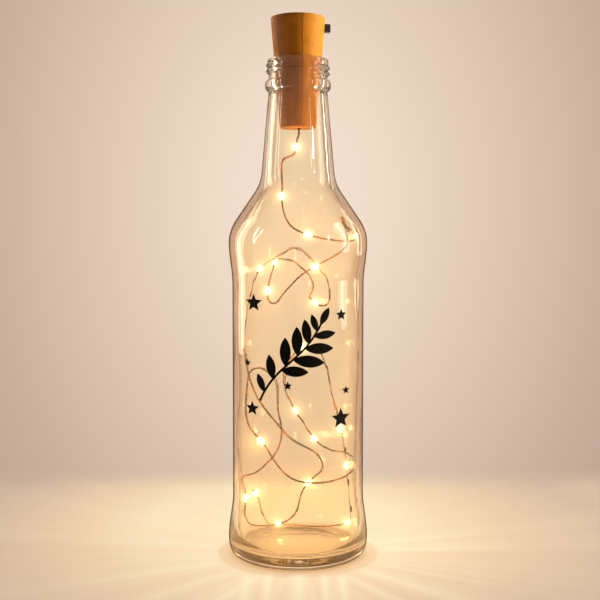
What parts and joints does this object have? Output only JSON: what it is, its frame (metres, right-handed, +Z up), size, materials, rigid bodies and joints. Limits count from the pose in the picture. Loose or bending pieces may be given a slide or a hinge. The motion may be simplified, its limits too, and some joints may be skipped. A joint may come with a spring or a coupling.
{
  "type": "cork bottle light",
  "caption": "Clear glass bottle with cut-out decals, lit from inside by a copper-wire string of micro lamps that hangs from a cork-shaped battery stopper with a slide switch.",
  "frame": {"origin": "centre of the ring that the bottle stands on, at table height", "axes": "+Z up along the bottle's axis, -Y towards the decals, +X towards the side that the switch knob is on"},
  "size_m": [0.0601, 0.06, 0.2296],
  "materials": {
    "clear_glass": "clear flint glass, smooth moulded surface",
    "black_vinyl": "cut black vinyl film, satin",
    "cork_plastic": "moulded plastic with a cork look, matt",
    "black_plastic": "moulded black plastic",
    "pale_plastic": "moulded natural plastic",
    "steel_sheet": "tinned steel sheet",
    "cell_steel": "nickel-plated steel can",
    "brass_strip": "sprung brass strip",
    "board_laminate": "green circuit board",
    "black_ceramic": "chip resistor",
    "solder": "solder",
    "copper_wire": "enamelled copper wire pair",
    "clear_resin": "clear resin drop, lit warm white",
    "lamp_chip": "light-emitting chip",
    "set_resin": "set resin plug"
  },
  "bodies": {
    "bottle": {"bottle": "clear_glass", "star_decal_1": "black_vinyl", "star_decal_2": "black_vinyl", "star_decal_3": "black_vinyl", "star_decal_4": "black_vinyl", "star_decal_5": "black_vinyl", "star_decal_6": "black_vinyl", "star_decal_7": "black_vinyl", "sprig_decal": "black_vinyl", "neck_wire": "copper_wire", "light_wire": "copper_wire", "led_02": "clear_resin", "led_03": "clear_resin", "led_04": "clear_resin", "led_05": "clear_resin", "led_06": "clear_resin", "led_07": "clear_resin", "led_08": "clear_resin", "led_09": "clear_resin", "led_10": "clear_resin", "led_11": "clear_resin", "led_12": "clear_resin", "led_13": "clear_resin", "led_14": "clear_resin", "led_15": "clear_resin", "led_16": "clear_resin", "led_17": "clear_resin", "led_18": "clear_resin", "led_19": "clear_resin", "led_20": "clear_resin", "led_chips": "lamp_chip"},
    "stopper": {"shell_left": "cork_plastic", "shell_right": "cork_plastic", "circuit_board": "board_laminate", "switch_base": "black_plastic", "switch_case": "steel_sheet", "resistor": "black_ceramic", "solder_joints": "solder", "leaf_contact": "brass_strip", "spring_contact": "brass_strip", "wire_gland": "set_resin", "inner_lead": "copper_wire", "drop_wire": "copper_wire", "led_01": "clear_resin", "top_chip": "lamp_chip"},
    "cell_tray": {"tray_cap": "cork_plastic", "battery_tray": "pale_plastic", "cell_1": "cell_steel", "cell_2": "cell_steel", "cell_3": "cell_steel", "tray_strip": "brass_strip"},
    "switch_knob": {"switch_knob": "black_plastic"}
  },
  "joints": [
    {"name": "stopper_lift", "type": "slide", "parent": "bottle", "child": "stopper", "axis": [0, 0, 1], "range_m": [0, 0.032], "deforming": ["neck_wire"]},
    {"name": "tray_pull", "type": "slide", "parent": "stopper", "child": "cell_tray", "axis": [0, 0, 1], "range_m": [0, 0.021]},
    {"name": "switch_slide", "type": "slide", "parent": "stopper", "child": "switch_knob", "axis": [0, 0, 1], "range_m": [-0.002, 0]}
  ]
}
